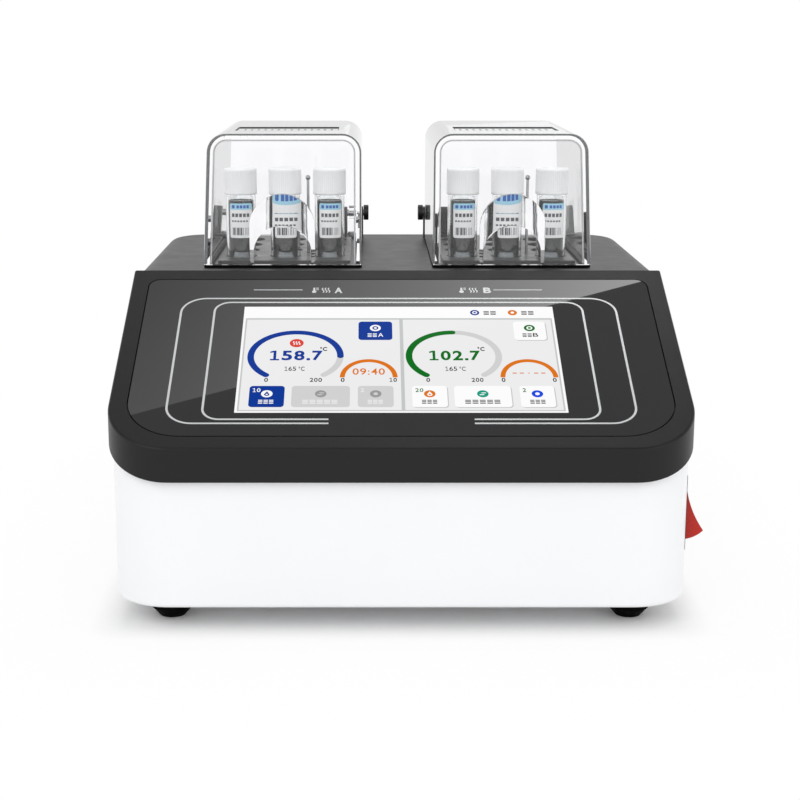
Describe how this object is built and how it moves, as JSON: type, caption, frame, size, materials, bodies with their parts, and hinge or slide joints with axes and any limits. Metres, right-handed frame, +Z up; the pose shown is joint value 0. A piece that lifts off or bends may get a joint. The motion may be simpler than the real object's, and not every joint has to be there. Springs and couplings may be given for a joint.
{
  "type": "oxygen demand digestion reactor",
  "caption": "Bench tube digester: white case with a sloping glass touch panel, dry heating blocks under clear hinged hoods, a side rocker switch and a rear mains inlet.",
  "frame": {"origin": "on the bench, under the middle of the overall width and depth", "axes": "+Z up; the sloping display faces -Y; +X to the right as the user sees it"},
  "size_m": [0.2795, 0.296, 0.2187],
  "materials": {
    "white_housing": "fine moulded satin",
    "dark_cover": "fine moulded satin",
    "panel_glass": "polished, printed dark behind",
    "display": "gloss",
    "zinc_steel": "zinc plated",
    "black_steel": "black powder coat",
    "stainless": "ground",
    "circuit_board": "solder mask",
    "black_plastic": "moulded",
    "ribbon": "plain",
    "rubber": "matte",
    "red_plastic": "polished",
    "aluminium": "machined",
    "heater_foil": "silicone mat",
    "insulation": "ceramic fibre",
    "black_plate": "black anodised",
    "cutout_body": "phenolic",
    "clear_plastic": "clear, polished",
    "tube_glass": "clear",
    "cap_plastic": "moulded"
  },
  "bodies": {
    "case": {"block_cover_a": "black_plate", "block_cover_b": "black_plate", "block_stand_a": "zinc_steel", "block_stand_b": "zinc_steel", "board_standoffs": "zinc_steel", "chassis_plate": "zinc_steel", "control_board": "circuit_board", "cover_screws": "zinc_steel", "display_bracket": "zinc_steel", "display_module": "display", "fan_frame": "black_plastic", "fan_guard": "black_steel", "fan_screws": "zinc_steel", "foot_screws": "zinc_steel", "heater_plate_a": "heater_foil", "heater_plate_b": "heater_foil", "heater_relays": "black_plastic", "heating_block_a": "aluminium", "heating_block_b": "aluminium", "hinge_brackets_a": "black_steel", "hinge_brackets_b": "black_steel", "hinge_knobs_a": "black_plastic", "hinge_knobs_b": "black_plastic", "hinge_pins_a": "stainless", "hinge_pins_b": "stainless", "hinge_screws": "zinc_steel", "hood_seal_a": "rubber", "hood_seal_b": "rubber", "inlet_screws": "zinc_steel", "insulation_jacket_a": "insulation", "insulation_jacket_b": "insulation", "lower_housing": "white_housing", "power_inlet": "black_plastic", "power_supply": "zinc_steel", "ribbon_cable": "ribbon", "rubber_feet": "rubber", "switch_frame": "black_plastic", "temperature_probe_a": "stainless", "temperature_probe_b": "stainless", "thermal_cutout_a": "cutout_body", "thermal_cutout_b": "cutout_body", "touch_panel": "panel_glass", "upper_cover": "dark_cover"},
    "hood_a": {"hood_a": "clear_plastic"},
    "tube_a1": {"tube_a1": "tube_glass", "tube_cap_a1": "cap_plastic"},
    "tube_a2": {"tube_a2": "tube_glass", "tube_cap_a2": "cap_plastic"},
    "tube_a3": {"tube_a3": "tube_glass", "tube_cap_a3": "cap_plastic"},
    "hood_b": {"hood_b": "clear_plastic"},
    "tube_b1": {"tube_b1": "tube_glass", "tube_cap_b1": "cap_plastic"},
    "tube_b2": {"tube_b2": "tube_glass", "tube_cap_b2": "cap_plastic"},
    "tube_b3": {"tube_b3": "tube_glass", "tube_cap_b3": "cap_plastic"},
    "switch_rocker": {"switch_rocker": "red_plastic"},
    "fan_rotor": {"fan_rotor": "black_plastic"},
    "fuse_drawer": {"fuse_drawer": "black_plastic"}
  },
  "joints": [
    {"name": "hood_a_hinge", "type": "hinge", "parent": "case", "child": "hood_a", "pos_m": [-0.06388, 0.129, 0.1637], "axis": [-1, 0, 0], "range_deg": [0, 100]},
    {"name": "hood_b_hinge", "type": "hinge", "parent": "case", "child": "hood_b", "pos_m": [0.05613, 0.129, 0.1637], "axis": [-1, 0, 0], "range_deg": [0, 100]},
    {"name": "tube_a1_lift", "type": "slide", "parent": "case", "child": "tube_a1", "axis": [0, 0, 1], "range_m": [0, 0.015]},
    {"name": "tube_a2_lift", "type": "slide", "parent": "case", "child": "tube_a2", "axis": [0, 0, 1], "range_m": [0, 0.015]},
    {"name": "tube_a3_lift", "type": "slide", "parent": "case", "child": "tube_a3", "axis": [0, 0, 1], "range_m": [0, 0.015]},
    {"name": "tube_b1_lift", "type": "slide", "parent": "case", "child": "tube_b1", "axis": [0, 0, 1], "range_m": [0, 0.015]},
    {"name": "tube_b2_lift", "type": "slide", "parent": "case", "child": "tube_b2", "axis": [0, 0, 1], "range_m": [0, 0.015]},
    {"name": "tube_b3_lift", "type": "slide", "parent": "case", "child": "tube_b3", "axis": [0, 0, 1], "range_m": [0, 0.015]},
    {"name": "switch_rock", "type": "hinge", "parent": "case", "child": "switch_rocker", "pos_m": [0.12953, -0.105, 0.0487], "axis": [0, 1, 0], "range_deg": [0, 40.8]},
    {"name": "fan_spin", "type": "hinge", "parent": "case", "child": "fan_rotor", "pos_m": [-0.00387, 0.131, 0.045], "axis": [0, 1, 0], "continuous": true},
    {"name": "fuse_drawer_pull", "type": "slide", "parent": "case", "child": "fuse_drawer", "axis": [0, 1, 0], "range_m": [0, 0.018]}
  ]
}
